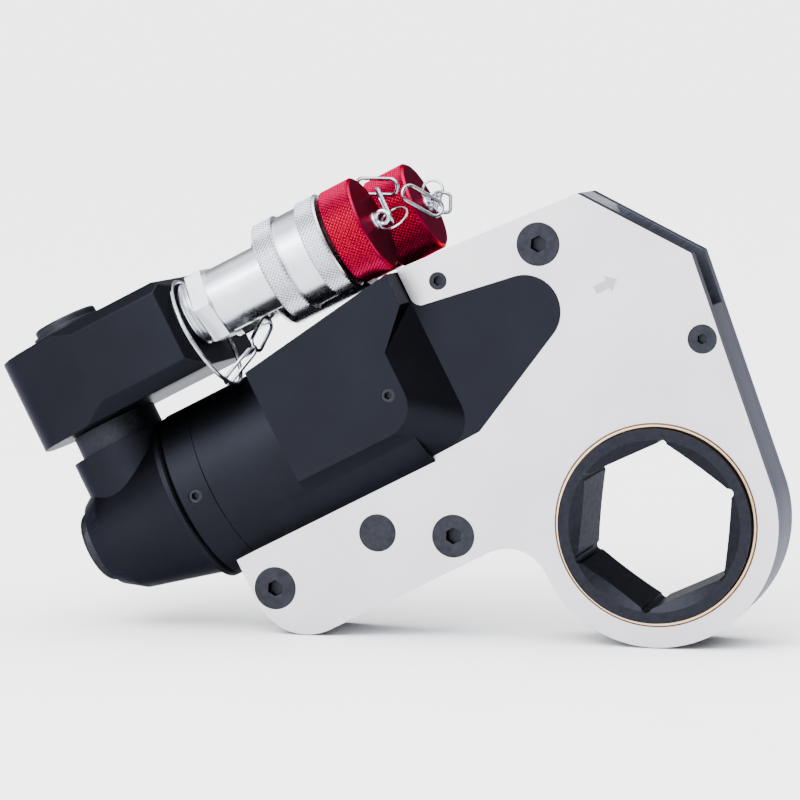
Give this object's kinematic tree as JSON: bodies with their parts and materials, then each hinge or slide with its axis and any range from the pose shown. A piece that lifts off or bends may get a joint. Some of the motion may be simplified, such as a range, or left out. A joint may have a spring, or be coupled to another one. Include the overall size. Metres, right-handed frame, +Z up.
{
  "type": "hydraulic torque wrench",
  "caption": "Low-profile hydraulic torque wrench: hexagon ratchet between side plates with a reaction foot, a tilted cylinder and a swivel block carrying capped quick couplers.",
  "frame": {"origin": "middle of the hexagon socket: the ratchet axis at the mid-plane between the side plates", "axes": "+Y along the ratchet axis, away from the side with the sleeved coupler; +X the way the cylinder faces when the tool stands; +Z up"},
  "size_m": [0.2267, 0.0585, 0.1322],
  "materials": {
    "nickel_plate": "satin nickel plate on machined steel",
    "bronze": "turned bronze",
    "black_oxide": "black oxide on steel",
    "bare_steel": "ground and oiled steel",
    "black_anodised": "satin black anodised",
    "seal_rubber": "moulded nitrile rubber",
    "zinc_plate": "bright zinc plate",
    "red_anodised": "red anodised"
  },
  "bodies": {
    "housing": {"near_side_plate": "nickel_plate", "far_side_plate": "nickel_plate", "near_bush": "bronze", "far_bush": "bronze", "plate_screws": "black_oxide", "back_screws": "black_oxide", "lock_screws": "black_oxide", "retaining_pin": "black_oxide", "top_spacer": "bare_steel", "foot_spacer": "bare_steel", "rim_spacer": "nickel_plate", "cylinder_body": "black_anodised", "rod_bush": "bronze", "rod_seal": "seal_rubber", "rod_wiper": "seal_rubber", "end_gland": "black_anodised", "gland_seal": "seal_rubber", "gland_set_screw": "black_oxide", "port_plugs": "black_oxide", "swivel_stem": "black_oxide", "stem_seals": "seal_rubber", "holding_pawl_pin": "zinc_plate", "holding_pawl_spring": "bare_steel"},
    "piston": {"piston": "bare_steel", "piston_seal": "seal_rubber", "piston_guide_rings": "bronze", "piston_rod": "zinc_plate", "rod_end": "bare_steel"},
    "lever": {"near_lever_plate": "bare_steel", "far_lever_plate": "bare_steel", "lever_pin": "zinc_plate", "drive_pawl_pin": "zinc_plate", "spring_pin": "zinc_plate", "drive_pawl_spring": "bare_steel"},
    "drive_pawl": {"drive_pawl": "black_oxide"},
    "holding_pawl": {"holding_pawl": "black_oxide"},
    "ratchet": {"ratchet": "black_oxide"},
    "swivel_base": {"swivel_base": "black_anodised", "swivel_post": "black_oxide", "post_seals": "seal_rubber"},
    "swivel_block": {"swivel_block": "black_anodised", "near_adapter": "zinc_plate", "far_adapter": "zinc_plate", "near_coupler_body": "zinc_plate", "near_poppet": "bare_steel", "lock_balls": "bare_steel", "sleeve_spring": "bare_steel", "far_coupler_body": "zinc_plate", "far_poppet": "bare_steel"},
    "sleeve": {"coupler_sleeve": "zinc_plate"},
    "near_cap": {"near_dust_cap": "red_anodised", "near_cap_ring": "seal_rubber", "near_cap_eye": "zinc_plate"},
    "far_cap": {"far_dust_cap": "red_anodised", "far_cap_eye": "zinc_plate"}
  },
  "joints": [
    {"name": "piston_slide", "type": "slide", "parent": "housing", "child": "piston", "axis": [0.891, 0, 0.454], "range_m": [0, 0.02239]},
    {"name": "lever_turn", "type": "hinge", "parent": "housing", "child": "lever", "pos_m": [0, 0, 0], "axis": [0, 1, 0], "range_deg": [0, 20]},
    {"name": "drive_pawl_drop", "type": "hinge", "parent": "lever", "child": "drive_pawl", "pos_m": [-0.03257, 0, 0.01687], "axis": [0, 1, 0], "range_deg": [0, 12], "stiffness_Nm_per_rad": 0.02, "springref_deg": 16},
    {"name": "holding_pawl_drop", "type": "hinge", "parent": "housing", "child": "holding_pawl", "pos_m": [0.00217, 0, 0.03661], "axis": [0, 1, 0], "range_deg": [0, 12], "stiffness_Nm_per_rad": 0.02, "springref_deg": 16},
    {"name": "ratchet_turn", "type": "hinge", "parent": "housing", "child": "ratchet", "pos_m": [0, 0, 0], "axis": [0, 1, 0], "continuous": true},
    {"name": "swivel_base_turn", "type": "hinge", "parent": "housing", "child": "swivel_base", "pos_m": [-0.14671, 0, -0.00348], "axis": [0.891, 0, 0.454], "range_deg": [-4, 4]},
    {"name": "swivel_block_turn", "type": "hinge", "parent": "swivel_base", "child": "swivel_block", "pos_m": [-0.16771, 0, 0.03773], "axis": [-0.454, 0, 0.891], "continuous": true},
    {"name": "sleeve_pull", "type": "slide", "parent": "swivel_block", "child": "sleeve", "axis": [-0.891, 0, -0.454], "range_m": [0, 0.005], "stiffness_N_per_m": 800, "springref_m": -0.002, "deforming": ["sleeve_spring"]},
    {"name": "near_cap_turn", "type": "hinge", "parent": "swivel_block", "child": "near_cap", "pos_m": [-0.08368, -0.015, 0.08054], "axis": [0.891, 0, 0.454], "continuous": true},
    {"name": "far_cap_turn", "type": "hinge", "parent": "swivel_block", "child": "far_cap", "pos_m": [-0.0819, 0.015, 0.08144], "axis": [0.891, 0, 0.454], "continuous": true}
  ],
  "couplings": [
    {"joint": "lever_turn", "follows": "piston_slide", "rad_per_m": 15.588}
  ]
}
